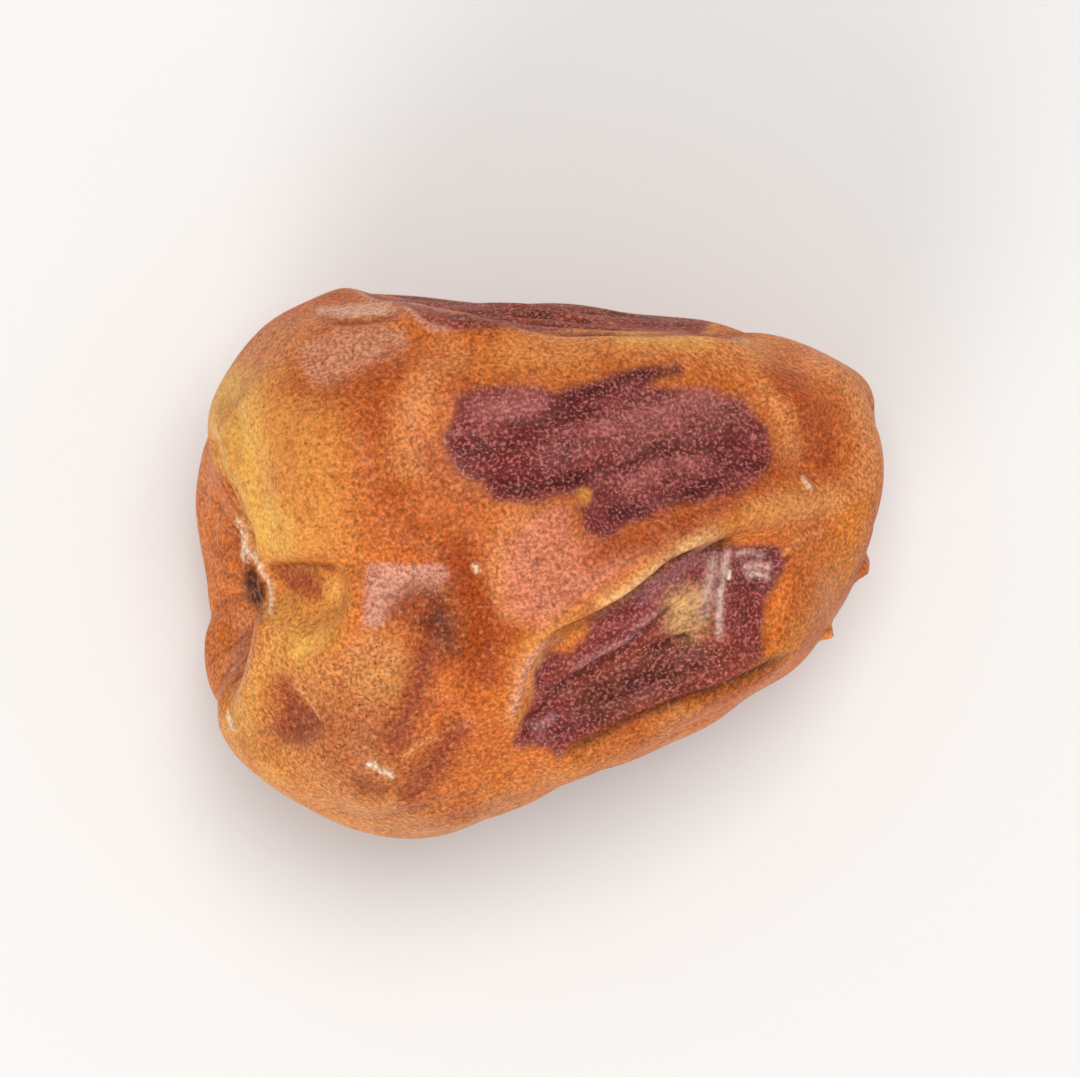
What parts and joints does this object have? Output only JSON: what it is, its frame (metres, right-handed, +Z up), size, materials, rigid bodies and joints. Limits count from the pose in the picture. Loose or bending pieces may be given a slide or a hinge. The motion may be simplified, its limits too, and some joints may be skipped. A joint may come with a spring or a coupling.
{
  "type": "sukkari date",
  "caption": "Dried sukkari date lying on its side, one solid puffed and wrinkled fruit with a pit where its cap was.",
  "frame": {"origin": "centre of the footprint, on the surface that the date lies on", "axes": "+X from the cap end to the tip, +Y to the far side as seen in the picture, +Z up"},
  "size_m": [0.0354, 0.0278, 0.0248],
  "materials": {
    "skin": "satin"
  },
  "bodies": {
    "root": {"fruit": "skin"}
  },
  "joints": []
}
